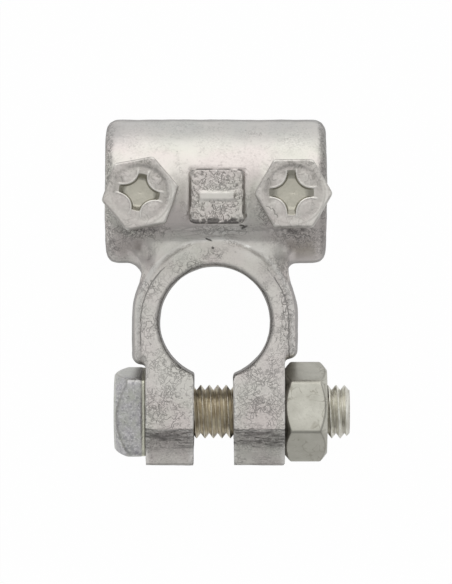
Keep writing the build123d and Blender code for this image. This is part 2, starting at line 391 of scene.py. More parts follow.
def pad_surface():
    """The pad: a grid drawn to a rounded square, |a|^p + |b|^p = 1, with soft edges and walls below."""
    count = int(pad_side / pad_cell) // 2 * 2
    a, b = np.meshgrid(np.linspace(-1, 1, count), np.linspace(-1, 1, count), indexing="ij")
    level = np.maximum(np.abs(a), np.abs(b))
    p = pad_corner_sharpness
    inset = level / (np.abs(a) ** p + np.abs(b) ** p) ** (1 / p)
    x, y = a * inset * pad_side / 2, b * inset * pad_side / 2
    edge = pad_side / 2 * (1 - level)
    inward = np.clip(1 - edge / pad_edge_radius, 0, 1)
    z = pad_top - pad_edge_radius * (1 - np.sqrt(1 - inward**2))
    top = np.stack([x + pad_centre[0], y + pad_centre[1], z], axis=-1).reshape(-1, 3)
    edge = edge.ravel()
    from_centre = top[:, 1] - pad_centre[1]
    bar = bar_mask(top[:, 0] - pad_centre[0], from_centre)
    ground = (1 - bar) * step(edge, 0.1, 0.5)
    low_rim = step(from_centre + 0.15 * ripples(top, 1.6, 34), -3.15, -3.45)
    low_rim *= step(ripples(top, 0.55, 35), -1.2, -0.2)
    side_line = line_at(edge, 0.2, 0.07, 0.17) * step(ripples(top, 1.6, 36), -1.2, 0.0)
    side_line *= 0.65 + 0.35 * step(from_centre, 3.4, 3.7)
    dark = np.maximum(low_rim, side_line)
    uneven = 0.016 * ripples(top, 0.5, 37) + 0.022 * ripples(top, 1.0, 38) + 0.02 * ripples(top, 3.0, 39)
    top[:, 2] += bar * bar_height + uneven * ground - 0.1 * dark
    bright = most((0.8, step(ripples(top, 0.55, 40), 1.0, 1.7) * ground), (0.3, bar))
    numbers = numbered(a, 0, 0)
    rim = np.concatenate([numbers[:-1, 0], numbers[-1, :-1], numbers[:0:-1, -1], numbers[0, :0:-1]])
    way_down = np.linspace(0, 1, pad_wall_rows + 1)[1:, None]
    wall = np.repeat(top[rim][None], pad_wall_rows, axis=0)
    wall[:, :, 2] = top[rim][None, :, 2] * (1 - way_down) + pad_wall_bottom * way_down
    wall_numbers = count * count + np.arange(pad_wall_rows * len(rim)).reshape(pad_wall_rows, -1)
    rings = np.concatenate([rim[None], wall_numbers])
    faces = np.concatenate([quads_of(numbers), quads_of(np.pad(rings, ((0, 0), (0, 1)), "wrap"))])
    below = np.zeros(pad_wall_rows * len(rim))
    # The pad's walls are painted with shade; its dark border lines go into the same share.
    shares = {
        "shade_and_grime": np.concatenate([dark, below + pad_wall_shade]),
        "ridge": np.concatenate([bright, below]),
        "coarse": np.concatenate([0.12 * (1 - bar), below + 0.4]),
        "lined": np.concatenate([0.74 * ground, below]),
        "scrape": np.zeros(len(top) + len(below)),
    }
    return np.concatenate([top, wall.reshape(-1, 3)]), faces, rings[-1], shares


def make_piece(name, points, faces, body, stands_for):
    """A smooth mesh from points in millimetres and faces, riding on a body in place of a solid."""
    mesh = bpy.data.meshes.new(name)
    mesh.from_pydata(points * mm, [], faces)
    mesh.update()
    mesh.shade_smooth()
    piece = in_scene(name, mesh)
    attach(piece, body)
    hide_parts(stands_for)
    return piece


def paint(piece, **shares):
    """Keeps shares between 0 and 1 on a piece's vertices, for its finish to read by name."""
    for name, share in shares.items():
        layer = piece.data.attributes.new(name, "FLOAT", "POINT")
        layer.data.foreach_set("value", np.clip(share, 0, 1).astype(np.float32))


pad_points, pad_faces, pad_bottom, pad_shares = pad_surface()
cast_points = np.concatenate([skin_points, pad_points])
cast_faces = skin_faces + (pad_faces + len(skin_points)).tolist()
cast_faces.append((pad_bottom[::-1] + len(skin_points)).tolist())
casting = make_piece(
    "terminal_casting", cast_points, cast_faces, "terminal", "terminal_body"
)
casting.data.set_sharp_from_angle(angle=math.radians(50))

rim_radius = 11.35
ring_back_radius = 12.4
scraped_bevel = (1.6, 3.4, 5.2, 5.5)
# Spots in plan, each x, y, half widths and amount: valleys behind the ring painted with shade, two spots painted
# darker, and the dips where the ring's back meets the tube painted with light.
valley_spots = ((-10.0, 9.0, 0.9, 0.8, 0.48), (10.1, 9.4, 1.2, 0.8, 0.48), (-13.0, 11.0, 1.7, 1.3, 0.21))
darkened_spots = ((-15.7, 28.6, 1.8, 1.9, 0.24), (7.0, -20.6, 4.6, 1.3, 0.21))
hollow_spots = ((-5.9, 10.5, 2.4, 1.4, 0.5), (6.4, 10.3, 2.2, 1.2, 0.9))
x, y, z = skin_points.T
aside = np.abs(x)
facing_up = skin_normals[:, 2]
round_joint = step(aside, 13.5, 12.5) * step(y, 5.5, 7.0) * step(z, 12.0, 13.0)
crevice = step(-stand, 0.004, 0.03) * (1 - 0.9 * round_joint)
pad_foot = step(off_pad(skin_points), 0.28, 0.05) * step(z, 14.5, 15.5)
pad_foot *= step(y - pad_centre[1], -3.5, -2.0)
bore_edge = step(np.hypot(x, y), 8.85, 8.5) * step(z, 14.0, 15.3)
screw_feet = np.maximum(*[patch(skin_points, at_x, at_y - 5.1, 3.4, 0.4) for at_x, at_y in screw_axes])
screw_feet *= step(ripples(skin_points, 0.7, 25), -0.6, 0.6) * step(z, 12.0, 13.0)
bevel = window(y - jaw_end, *scraped_bevel)
tube_ends = step(np.abs(x - tube_x), 14.9, 15.5) * step(y, 9.0, 10.0)
tube_foot = window(y, 8.0, 9.0, 11.0, 13.5) * step(aside, 8.5, 11.0)
jaw_brink = step(y - jaw_end, 0.38, 0.16) * step(facing_up, 0.05, 0.2)
left_wall = step(x, -11.5, -11.9) * step(y, 7.0, 5.0) * step(facing_up, 0.95, 0.8)
# Painted shade on the skin: on steep walls, in creases, at the foot of the screws' heads, along the jaws' edges
# and ends, round the bore's edge, on the jaws' bevels, round the pad's foot, on the tube's lower front near its
# ends, on the ring's left wall and in the valleys behind the ring; the tube's right end band and two spots are
# painted darker as well.
skin_shade_and_grime = most(
    (0.66, step(np.abs(facing_up), 0.34, 0.15)),
    (0.8, crevice),
    (0.8, screw_feet),
    (0.5, jaw_edge),
    (0.5, jaw_brink),
    (0.44, tube_ends * (x > 0)),
    (0.02, tube_ends),
    (0.38, bore_edge),
    (0.30, bevel),
    (0.25, pad_foot),
    (0.17, tube_foot),
    (0.16, left_wall),
    (1, spotted(skin_points, 0, valley_spots) * step(z, 9.5, 11.5)),
    (1, spotted(skin_points, 0, darkened_spots)),
)
# Painted light on the skin: a highlight along the ring's rim and round its back, lighter below the pad, on the
# flat top and in the dips where the ring's back meets the tube, and a highlight on convex edges.
reach = np.hypot(x, np.maximum(y, 0) - ring_back_shift * step(y, 0.0, 3.0))
rim_light = line_at(reach, rim_radius, 0.2, 0.45) * step(y, -6.8, -5.6)
back_light = line_at(reach, ring_back_radius, 0.1, 0.9) * line_at(aside, 6.6, 1.4, 3.4) * step(y, 7.0, 9.0)
under_pad = patch(skin_points, 0.8, 13.2, 6.5, 1.1) * step(z, 13.0, 14.0)
flat_top = window(y, -12.5, -9.5, 5.5, 8.5) * step(z, 15.2, 15.8)
skin_painted_light = most(
    (1, step(stand, 0.008, 0.035)),
    (1, most((1, rim_light), (0.5, back_light)) * step(z, 14.0, 14.6)),
    (0.9, under_pad),
    (0.4, flat_top),
    (1, spotted(skin_points, 0, hollow_spots) * step(z, 12.5, 13.5)),
)
skin_shares = {
    "coarse": coarse,
    "lined": lined_share(skin_points),
    "shade_and_grime": skin_shade_and_grime,
    "ridge": skin_painted_light,
    "scrape": most((1, bevel), (0.8, under_pad)),
}
paint(casting, **{name: np.concatenate([share, pad_shares[name]]) for name, share in skin_shares.items()})


def fill(node, sockets):
    """Gives each named input of a node its value or its link: the node's outputs."""
    for key, value in sockets.items():
        if isinstance(value, bpy.types.NodeSocket):
            node.id_data.links.new(value, node.inputs[key])
        else:
            node.inputs[key].default_value = value
    return node.outputs


def lay(near, kind, sockets, **settings):
    """Lays one shader node in the tree of a socket near it, and fills its inputs: its outputs."""
    node = near.id_data.nodes.new(f"ShaderNode{kind}")
    for name, value in settings.items():
        setattr(node, name, value)
    return fill(node, sockets)


def worked(operation, *values):
    """One Math node: the operation on its values."""
    near = next(value for value in values if isinstance(value, bpy.types.NodeSocket))
    return lay(near, "Math", dict(enumerate(values)), operation=operation)[0]


def times(first, second):
    """The product of two values."""
    return worked("MULTIPLY", first, second)


def larger(first, second):
    """The larger of two values."""
    return worked("MAXIMUM", first, second)


def off(value, centre):
    """How far a value is from a centre."""
    return worked("ABSOLUTE", worked("SUBTRACT", value, centre))


def ranged(value, start, end, low=0.0, high=1.0):
    """A value taken from start-to-end to low-to-high, level outside them."""
    sockets = {"Value": value, "From Min": start, "From Max": end, "To Min": low, "To Max": high}
    return lay(value, "MapRange", sockets)["Result"]


def tinted(share, first, second):
    """The first colour with the second laid over it by a share."""
    return lay(share, "Mix", {0: share, 6: first, 7: second}, data_type="RGBA")[2]


def coated(base, coats):
    """A base colour under coats: each a share, a strength and the colour that it lays over the rest."""
    for share, strength, colour in coats:
        base = tinted(times(share, strength), base, colour)
    return base


def share_of(near, name):
    """A share painted on the piece's vertices."""
    return lay(near, "Attribute", {}, attribute_name=name)["Fac"]


def noise(place, scale, detail=3.0, roughness=0.5, distortion=0.0):
    """Smooth noise over a place, in features of about 1 / scale metres: its outputs."""
    sockets = {"Vector": place, "Scale": scale, "Detail": detail, "Roughness": roughness}
    return lay(place, "TexNoise", {**sockets, "Distortion": distortion})


def squeezed(place, scale):
    """A place with each axis scaled, so that a pattern on it is drawn out along the small ones."""
    return lay(place, "Mapping", {"Vector": place, "Scale": scale})[0]


def new_group(name, values, results):
    """A shader group over a place: itself, what it is given and its node of results, all by name."""
    group = bpy.data.node_groups.new(name, "ShaderNodeTree")
    group.interface.new_socket("Place", in_out="INPUT", socket_type="NodeSocketVector")
    for in_out, labels in (("INPUT", values), ("OUTPUT", results)):
        for label in labels:
            group.interface.new_socket(label, in_out=in_out, socket_type="NodeSocketFloat")
    return group, group.nodes.new("NodeGroupInput").outputs, group.nodes.new("NodeGroupOutput")


def axes_of(place):
    """The place's own x, y and z."""
    return lay(place, "SeparateXYZ", {0: place})


def placed(group, place, sockets):
    """One placed group about a place, with its own values: its outputs."""
    node = place.id_data.nodes.new("ShaderNodeGroup")
    node.node_tree = group
    return fill(node, {"Place": place, **sockets})


pit_raggedness = 0.12


def metal_grain():
    """Group for every metal here: fine grain, broad clouds and scattered pits, each from 0 to 1."""
    scales = ("Grain scale", "Cloud scale", "Pit scale")
    group, given, result = new_group("metal_grain", scales, ("Grain", "Clouds", "Pits"))
    grain = noise(given["Place"], given["Grain scale"], roughness=0.62)
    clouds = noise(given["Place"], given["Cloud scale"], roughness=0.55)
    shift = {0: grain["Color"], "Scale": pit_raggedness * mm}
    shift = lay(group, "VectorMath", shift, operation="SCALE")[0]
    ragged = lay(group, "VectorMath", {0: given["Place"], 1: shift}, operation="ADD")[0]
    cells = lay(group, "TexVoronoi", {"Vector": ragged, "Scale": given["Pit scale"]})
    drawn = lay(group, "SeparateColor", {0: cells["Color"]})[0]
    hole = ranged(cells["Distance"], 0.26, 0.08)
    fill(result, {
        "Grain": ranged(grain["Fac"], 0.3, 0.7),
        "Clouds": ranged(clouds["Fac"], 0.32, 0.68),
        "Pits": times(hole, ranged(drawn, 0.62, 0.9)),
    })
    return group


grain_group = metal_grain()


def grain_of(place, grain, clouds, pits):
    """Grain, clouds and pits of the metal, each at its own scale."""
    scales = {"Grain scale": grain, "Cloud scale": clouds, "Pit scale": pits}
    return placed(grain_group, place, scales)


def wandering_lines():
    """Group of thin broken lines: where a noise is within a width of its middle value."""
    values = ("Line scale", "Line width", "Kept")
    group, given, result = new_group("wandering_lines", values, ("Lines",))
    field = noise(given["Place"], given["Line scale"], 1.4, 0.55, 0.7)["Fac"]
    line = ranged(off(field, 0.5), given["Line width"], 0.0)
    breaks = noise(given["Place"], times(given["Line scale"], 0.45), 2.0)["Fac"]
    start = worked("SUBTRACT", 1.0, given["Kept"])
    kept = ranged(breaks, start, worked("ADD", start, 0.08))
    fill(result, {"Lines": times(line, kept)})
    return group


lines_group = wandering_lines()


def lines_of(place, scale, width, kept):
    """Thin broken lines at a scale, so wide and so many of them kept."""
    return placed(lines_group, place, {"Line scale": scale, "Line width": width, "Kept": kept})["Lines"]


def dint_at(place, centre, turn, half_size, ragged):
    """1 within an ellipse in millimetres, turned by so many degrees, with a ragged edge."""
    spot = {
        "Vector": place, "Location": tuple(way * mm for way in centre),
        "Rotation": (0, 0, math.radians(turn)), "Scale": tuple(half * mm for half in half_size),
    }
    inside = lay(place, "Mapping", spot, vector_type="TEXTURE")[0]
    reach = lay(place, "VectorMath", {0: inside}, operation="LENGTH")["Value"]
    wild = worked("SUBTRACT", noise(place, 3800.0, 2.0)["Fac"], 0.5)
    return ranged(worked("ADD", reach, times(wild, ragged)), 1.1, 0.6)


def new_finish(name):
    """A fresh material, and the place on the piece that wears it."""
    material = bpy.data.materials.new(name)
    material.use_nodes = True
    material.node_tree.nodes.clear()
    return material, lay(material.node_tree, "TexCoord", {})["Object"]


def close_metal(base, roughness, height, depth):
    """Puts a colour, a roughness and a bump of so many millimetres on a metal's shader."""
    normal = lay(base, "Bump", {"Height": height, "Strength": 1.0, "Distance": depth * mm})[0]
    sockets = {"Metallic": 1.0, "Base Color": base, "Roughness": roughness, "Normal": normal}
    lay(base, "OutputMaterial", {"Surface": lay(base, "BsdfPrincipled", sockets)[0]})


zinc_warm = (0.650, 0.599, 0.577, 1)
zinc_greenish = (0.615, 0.610, 0.556, 1)
zinc_cool = (0.605, 0.612, 0.605, 1)
zinc_cloud = (0.73, 0.69, 0.66, 1)
zinc_dull = (0.36, 0.35, 0.335, 1)
zinc_speck = (0.20, 0.19, 0.18, 1)
zinc_glint = (0.92, 0.91, 0.88, 1)
zinc_highlight_and_pale_tone = (0.82, 0.81, 0.78, 1)
glint_white = (1.0, 1.0, 0.97, 1)
shade_and_grime_dark = (0.15, 0.14, 0.135, 1)
mark_dark = (0.11, 0.105, 0.10, 1)
dark_dints = (
    ((4.25, 13.85), 28.0, (0.62, 0.26, 1.5)),
    ((4.0, 14.1), -12.0, (0.5, 0.13, 1.5)),
    ((-1.0, 12.1), -22.0, (0.62, 0.13, 1.5)),
    ((-0.3, 10.85), -15.0, (0.22, 0.16, 1.5)),
    ((-0.9, 15.1), 4.0, (1.4, 0.09, 1.5)),
)
ring_score_radius = 10.85
bevel_edge_y = jaw_end + 5.35
score_wobble = 0.9


def scored(place, wobble, clouds):
    """Two broken scored lines on the flat top: round the ring inside its rim, and along the bevels' edge."""
    axes = axes_of(place)
    back = larger(axes["Y"], 0.0)
    square = worked("ADD", times(axes["X"], axes["X"]), times(back, back))
    reach = worked("ADD", worked("SQRT", square), times(wobble, 0.4))
    ring_line = ranged(off(reach, ring_score_radius * mm), 0.13 * mm, 0.03 * mm)
    beside = ranged(worked("ABSOLUTE", axes["X"]), 6.2 * mm, 8.2 * mm)
    on_ring = times(ranged(axes["Y"], -6.5 * mm, -5.0 * mm), beside)
    edge_way = worked("ADD", axes["Y"], wobble)
    bevel_line = ranged(off(edge_way, bevel_edge_y * mm), 0.20 * mm, 0.05 * mm)
    lines = larger(times(ring_line, on_ring), bevel_line)
    on_top = ranged(axes["Z"], (ring_top - 2.0) * mm, (ring_top - 0.8) * mm)
    broken = times(ranged(clouds, 0.1, 0.35), times(on_top, 0.8))
    return times(lines, broken)


def cast_zinc():
    """Satin grey zinc: warm and greenish clouds, speckled and scored where it is coarse, with painted shade in
    corners and painted light on rims and edges.
    """
    material, place = new_finish("cast_zinc")
    coarse = share_of(place, "coarse")
    lined = share_of(place, "lined")
    grain, clouds, pits = grain_of(place, 3300.0, 230.0, 1300.0)
    mottle = noise(place, 1250.0, roughness=0.65)["Fac"]
    warmth = ranged(noise(place, 120.0)["Fac"], 0.42, 0.58)
    to_the_back = ranged(axes_of(place)["Y"], 25.0 * mm, 28.5 * mm)
    kept = ranged(lined, 0.3, 1.0, 0.49, 0.68)
    fine = lines_of(place, 1600.0, ranged(lined, 0.74, 0.98, 0.065, 0.12), kept)
    cracks = larger(times(fine, 0.8), lines_of(place, 820.0, 0.035, kept))
    cracks = times(cracks, ranged(lined, 0.1, 1.0, 0.0, 0.95))
    scratch = lines_of(squeezed(place, (0.16, 1.0, 1.0)), 1700.0, 0.11, 0.58)
    wobble = times(worked("SUBTRACT", mottle, 0.5), score_wobble * mm)
    marks = larger(cracks, scored(place, wobble, clouds))
    marks = larger(marks, times(scratch, times(share_of(place, "scrape"), 0.9)))
    marks = larger(marks, times(pits, ranged(lined, 0.1, 0.8, 0.1, 0.8)))
    for (x, y), turn, half_size in dark_dints:
        centre = (x, y, max(tube_crest(y), ring_top))
        marks = larger(marks, dint_at(place, centre, turn, half_size, 1.1))
    # A painted glint on the ring's back.
    painted_glint = dint_at(place, (4.8, 11.1, ring_top), -8.0, (0.55, 0.2, 3.0), 1.2)
    base = coated(tinted(warmth, zinc_warm, zinc_greenish), (
        (to_the_back, 0.7, zinc_cool),
        (clouds, 0.5, zinc_cloud),
        (ranged(mottle, 0.50, 0.32), ranged(coarse, 0.05, 0.9, 0.03, 0.24), zinc_dull),
        (ranged(grain, 0.46, 0.10), ranged(coarse, 0.0, 1.0, 0.03, 0.75), zinc_speck),
        (ranged(grain, 0.66, 0.98), ranged(coarse, 0.15, 0.65, 0.03, 0.9), zinc_glint),
        # Painted highlights and painted light on the skin, and paler spots on the pad.
        (share_of(place, "ridge"), 0.6, zinc_highlight_and_pale_tone),
        (painted_glint, 0.9, glint_white),
        # Painted shade in creases, on steep walls, along edges and under things, and a few spots painted darker.
        (share_of(place, "shade_and_grime"), 0.95, shade_and_grime_dark),
        (marks, 0.9, mark_dark),
    ))
    rough = worked("ADD", coarse, times(grain, 0.25))
    height = worked("ADD", grain, mottle)
    height = times(height, ranged(coarse, 0.1, 0.9, 0.07, 1.1))
    height = worked("SUBTRACT", height, times(marks, 1.5))
    close_metal(base, ranged(rough, 0.1, 1.2, 0.36, 0.56), height, 0.045)
    return material


casting.data.materials.append(cast_zinc())


# The clamp bolt: a cold-headed square head with turned-off corners and a thin flash line near its
# bearing face, and a rolled M8 thread, plated a yellowish grey that has browned between the jaws.
bolt_low, bolt_high = corners("clamp_bolt")
nut_low, nut_high = corners("clamp_nut")
bolt_turns = 160
bolt_pitch = 1.25
bolt_crest = 3.95
bolt_root = bolt_crest - 0.25
bolt_thread_depth = 0.72
bolt_thread_phase = 0.41
bolt_head_side = 11.8
bolt_head_turn = math.radians(8.3)
bolt_corner_sharpness = 15
bolt_face_radius = 5.3
flash_depth = 4.18
head_slope = 1 / math.tan(math.radians(38.0))


def lathe(grid, tips):
    """Points and faces of a grid that closes round its turns, with a fan of triangles to each tip."""
    numbers = numbered(grid, 1, 0)
    tip = np.full(len(grid), grid.size // 3)
    start = np.stack([numbers[1:, 0], numbers[:-1, 0], tip], axis=-1)
    end = np.stack([numbers[:-1, -1], numbers[1:, -1], tip + 1], axis=-1)
    faces = quads_of(numbers).tolist() + start.tolist() + end.tolist()
    return np.concatenate([grid.reshape(-1, 3), tips]), faces


def polygon_outline(angle, sides, half_width, sharpness):
    """Radius of a rounded regular polygon: half_width over the p-norm of its faces' cosines."""
    total = np.zeros_like(angle)
    for face in range(sides):
        total += np.maximum(np.cos(angle - 2 * np.pi * face / sides), 0) ** sharpness
    return half_width / total ** (1 / sharpness)


def soft_min(first, second, radius):
    """The smaller of two values, blended where they are within radius: b(1-h) + ah - rh(1-h)."""
    h = np.clip(0.5 + 0.5 * (second - first) / radius, 0, 1)
    return second * (1 - h) + first * h - radius * h * (1 - h)


def thread_radius(along, angle, pitch, phase, crest, depth):
    """Radius of a right-hand thread: crest less depth times a wave of (x - phase)/p - angle/2pi."""
    turn = (along - phase) / pitch - angle / (2 * np.pi)
    ridge = 2 * np.abs(turn - np.floor(turn) - 0.5)
    return crest - depth * (1 - np.clip((ridge - 0.06) / 0.86, 0, 1))


def bolt_thread(along, angle):
    """Radius of the clamp bolt's own thread at a place along x and an angle about its axis."""
    return thread_radius(along, angle, bolt_pitch, bolt_thread_phase, bolt_crest, bolt_thread_depth)


def on_bolt(along, angle, radius):
    """Points about the bolt's axis: x along it, and y and z from angle and radius."""
    along, angle, radius = np.broadcast_arrays(along, angle, radius)
    y = bolt_axis[1] + radius * np.cos(angle)
    z = bolt_axis[2] + radius * np.sin(angle)
    return np.stack([along, y, z], axis=-1)


def about_bolt(points, start):
    """Way along the bolt from a start, offsets behind and above its axis, and reach from it."""
    behind, above = (points[:, 1:] - bolt_axis[1:]).T
    return points[:, 0] - start, behind, above, np.hypot(behind, above)


def head_radius(angle):
    """Radius of the square head's outline at an angle about its axis."""
    return polygon_outline(angle - bolt_head_turn, 4, bolt_head_side / 2, bolt_corner_sharpness)


def bolt_surface():
    """The bolt from its head face to its end: at each turn, radius is a function of the way along it."""
    angle = np.linspace(0, 2 * np.pi, bolt_turns, endpoint=False)[:, None]
    flat = 0 * angle
    outline = head_radius(angle)
    share = np.linspace(0.04, 1, 26)[None]
    face_radius = soft_min(outline, np.full_like(outline, bolt_face_radius), 0.5) * share
    face_depth = 0.10 * share**4 + flat
    corner_steps = np.linspace(0.12, 2.4, 24)
    side_steps = np.linspace(2.55, bolt_head_height, 34)
    depth = np.concatenate([corner_steps, side_steps])[None] + flat
    side_radius = soft_min(outline + 0 * depth, bolt_face_radius + head_slope * depth, 0.45)
    side_radius -= 0.05 * np.exp(-(((depth - flash_depth) / 0.1) ** 2))
    side_radius -= 0.08 * step(depth, flash_depth, flash_depth + 0.15)
    side_radius -= 0.10 * step(depth, bolt_head_height - 0.15, bolt_head_height)
    shank = bolt_high[0] - bolt_low[0] - bolt_head_height
    foot_radius = np.linspace(1, 0, 8)[None, 1:] * (side_radius[:, -1:] - bolt_root) + bolt_root
    foot_depth = bolt_head_height + 0 * foot_radius
    way = np.linspace(0.02, shank, int(shank / bolt_pitch * 20))[None] + flat
    cut = step(way, 3.4, 5.4)
    thread = bolt_thread(way + bolt_low[0] + bolt_head_height, angle) * cut + bolt_root * (1 - cut)
    thread = soft_min(thread, bolt_crest - 0.75 + shank - way, 0.12)
    radius = np.concatenate([face_radius, side_radius, foot_radius, thread], axis=1)
    along = bolt_low[0] + np.concatenate([face_depth, depth, foot_depth, bolt_head_height + way], axis=1)
    return lathe(on_bolt(along, angle, radius), on_bolt(np.array([bolt_low[0], bolt_high[0]]), 0, 0))


def turn_out(piece):
    """Turns every face of a closed mesh outwards."""
    shape = bmesh.new()
    shape.from_mesh(piece.data)
    bmesh.ops.recalc_face_normals(shape, faces=shape.faces)
    shape.to_mesh(piece.data)
    shape.free()
    piece.data.shade_smooth()


bolt_points, bolt_faces = bolt_surface()
bolt = make_piece("clamp_bolt_plated", bolt_points, bolt_faces, "bolt", "clamp_bolt")
turn_out(bolt)
depth, behind, above, reach = about_bolt(bolt_points, bolt_low[0])
in_thread = depth > bolt_head_height + 0.01
corner_way = head_radius(np.arctan2(above, behind)) - bolt_face_radius - depth * head_slope
corner_arc = line_at(corner_way, 0.05, 0.06, 0.26) * (depth < 2.2)
face_edge = line_at(reach, bolt_face_radius + 0.25, 0.1, 0.35) * (depth < 1.6)
head_hollow = most((0.25, line_at(depth, flash_depth + 0.03, 0.05, 0.16)), (0.8, corner_arc))
head_edge = most((1, face_edge), (0.9, step(behind, 5.0, 5.5)))
thread_edge = step(reach, bolt_crest - 0.14, bolt_crest - 0.02)
# The shares below paint shade into the thread's roots, the groove by the flash line and along the head's corner
# arcs, and a highlight along the head's face edge, on its side towards the back and on the thread's crests.
paint(
    bolt,
    thread=in_thread,
    hollow=np.where(in_thread, step(reach, bolt_root, bolt_crest - bolt_thread_depth), head_hollow),
    edge=np.where(in_thread, thread_edge, head_edge),
    strip=step(depth, flash_depth - 0.05, flash_depth + 0.1) * ~in_thread,
    silver=step(bolt_points[:, 0], nut_high[0] - 2, nut_high[0]),
)
head_lavender = (0.505, 0.49, 0.515, 1)
head_greenish = (0.52, 0.53, 0.485, 1)
head_dark = (0.29, 0.285, 0.31, 1)
head_spangle = (0.90, 0.89, 0.90, 1)
head_highlight = (0.80, 0.81, 0.74, 1)
flash_yellow = (0.76, 0.76, 0.62, 1)
thread_brown = ((0.60, 0.53, 0.41, 1), (0.95, 0.90, 0.77, 1))
thread_silver = ((0.66, 0.64, 0.57, 1), (0.98, 0.97, 0.90, 1))
bolt_hollow = (0.20, 0.175, 0.13, 1)
bolt_pit = (0.15, 0.14, 0.12, 1)


def plated_bolt():
    """Plated steel: lavender-grey spangle with greenish clouds on the head, brown streaks in the thread."""
    material, place = new_finish("plated_bolt")
    grain, clouds, pits = grain_of(place, 3000.0, 420.0, 1900.0)
    spangle = noise(place, 1500.0, roughness=0.6)["Fac"]
    head = coated(tinted(clouds, head_lavender, head_greenish), (
        (ranged(spangle, 0.5, 0.36), 0.6, head_dark),
        (ranged(grain, 0.5, 0.9), 0.5, head_spangle),
        # Painted highlight on the head.
        (share_of(place, "edge"), 0.45, head_highlight),
        (share_of(place, "strip"), 0.75, flash_yellow),
    ))
    streaks = noise(squeezed(place, (1.0, 0.12, 0.12)), 3600.0)["Fac"]
    streak = ranged(streaks, 0.38, 0.62)
    browned, bright = (tinted(streak, *colours) for colours in (thread_brown, thread_silver))
    threaded = tinted(share_of(place, "silver"), browned, bright)
    base = coated(tinted(share_of(place, "thread"), head, threaded), (
        # Painted shade in the thread's roots and the head's grooves.
        (share_of(place, "hollow"), 0.34, bolt_hollow),
        (pits, 0.6, bolt_pit),
    ))
    height = worked("ADD", grain, spangle)
    close_metal(base, ranged(grain, 0.0, 1.0, 0.30, 0.46), height, 0.02)
    return material


bolt.data.materials.append(plated_bolt())


# The clamp nut: a plain M8 hexagon nut, 13 mm across its flats, with both faces turned to a cone,
# plated a smooth greenish grey. Its own thread follows the bolt's all the way through.
nut_turns = 144
nut_height = nut_high[0] - nut_low[0]
nut_across_flats = 13.0
nut_corner_sharpness = 60
nut_inner_radius = 6.33
nut_outer_radius = 6.15
nut_turned = math.radians(21.9)
nut_thread_gap = 0.06
nut_mouth_radius = bolt_crest + nut_thread_gap + 0.45
nut_corner_depth = 1.8
nut_slope = 1 / math.tan(math.radians(38.0))


def nut_cone(depth):
    """Radius to which both faces' cones leave the nut, at a depth from its inner face."""
    from_outer = nut_outer_radius + nut_slope * (nut_height - depth)
    return np.minimum(nut_inner_radius + nut_slope * depth, from_outer)


def nut_surface():
    """The nut as a ring: outside radius is the hexagon cut by a cone at each end, inside the thread."""
    angle = np.linspace(0, 2 * np.pi, nut_turns, endpoint=False)[:, None]
    outline = polygon_outline(angle - nut_turned, 6, nut_across_flats / 2, nut_corner_sharpness)
    bend = np.linspace(0, 1, 18) ** 1.5 * nut_corner_depth
    middle = np.linspace(nut_corner_depth, nut_height - nut_corner_depth, 12)[1:-1]
    depth = np.concatenate([bend, middle, nut_height - bend[::-1]])[None] + 0 * angle
    outer = soft_min(outline + 0 * depth, nut_cone(depth), 0.26)
    shares = np.linspace(0, 1, 12)[None, 1:]
    far_face = outer[:, -1:] + (nut_mouth_radius - outer[:, -1:]) * shares
    near_face = (outer[:, :1] + (nut_mouth_radius - outer[:, :1]) * shares)[:, ::-1]
    steps = int(nut_height / bolt_pitch * 18)
    inner_way = np.linspace(nut_height, 0, steps)[None, 1:-1] + 0 * angle
    mouth = nut_mouth_radius - np.minimum(inner_way, nut_height - inner_way)
    inner = np.maximum(bolt_thread(inner_way + nut_low[0], angle) + nut_thread_gap, mouth)
    way = np.concatenate([depth, nut_height + 0 * far_face, inner_way, 0 * near_face], axis=1)
    radius = np.concatenate([outer, far_face, inner, near_face], axis=1)
    grid = on_bolt(way + nut_low[0], angle, radius)
    return grid.reshape(-1, 3), quads_of(numbered(grid, 1, 1)).tolist()


nut_points, nut_faces = nut_surface()
nut = make_piece("clamp_nut_plated", nut_points, nut_faces, "nut", "clamp_nut")
turn_out(nut)
depth, behind, above, reach = about_bolt(nut_points, nut_low[0])
outside = reach > 5.6
sixth = np.pi / 3
off_flat = (np.arctan2(above, behind) - nut_turned + sixth / 2) % sixth - sixth / 2
off_cone = nut_cone(depth) - nut_across_flats / 2 / np.cos(off_flat)
# Painted shade inside the thread, on the nut's front side and beside its inner face, and painted dark lines along
# the flats' corners and the cones' edges.
paint(
    nut,
    hollow=step(reach, 5.2, 4.2),
    line=most(
        (0.5, step(np.abs(off_flat), 0.505, 0.518) * (reach > 6.5)),
        (0.55, line_at(off_cone, 0.05, 0.04, 0.19) * (reach > 5.9)),
    ),
    dull=most((0.75, step(behind, -2.6, -3.2) * outside), (0.06, step(depth, 0.9, 0.5) * outside)),
)
nut_greenish = (0.525, 0.515, 0.455, 1)
nut_pale = (0.64, 0.63, 0.565, 1)
nut_blotch = (0.42, 0.41, 0.35, 1)
nut_scratch = (0.28, 0.26, 0.21, 1)
nut_shaded = (0.27, 0.26, 0.225, 1)
nut_edge = (0.20, 0.19, 0.16, 1)
nut_hollow = (0.16, 0.14, 0.11, 1)


def plated_nut():
    """Smooth greenish-grey plating with faint blotches and a few fine lines, with painted shade inside the thread,
    on its front side and in dark lines along its edges.
    """
    material, place = new_finish("plated_nut")
    grain, clouds, _ = grain_of(place, 2400.0, 480.0, 900.0)
    base = coated(tinted(clouds, nut_greenish, nut_pale), (
        (ranged(grain, 0.45, 0.1), 0.30, nut_blotch),
        (lines_of(place, 480.0, 0.03, 0.47), 0.65, nut_scratch),
        # Painted shade on the front side, along the edges and inside the thread.
        (share_of(place, "dull"), 0.62, nut_shaded),
        (share_of(place, "line"), 1.0, nut_edge),
        (share_of(place, "hollow"), 0.8, nut_hollow),
    ))
    close_metal(base, ranged(grain, 0.0, 1.0, 0.30, 0.42), grain, 0.010)
    return material


nut.data.materials.append(plated_nut())


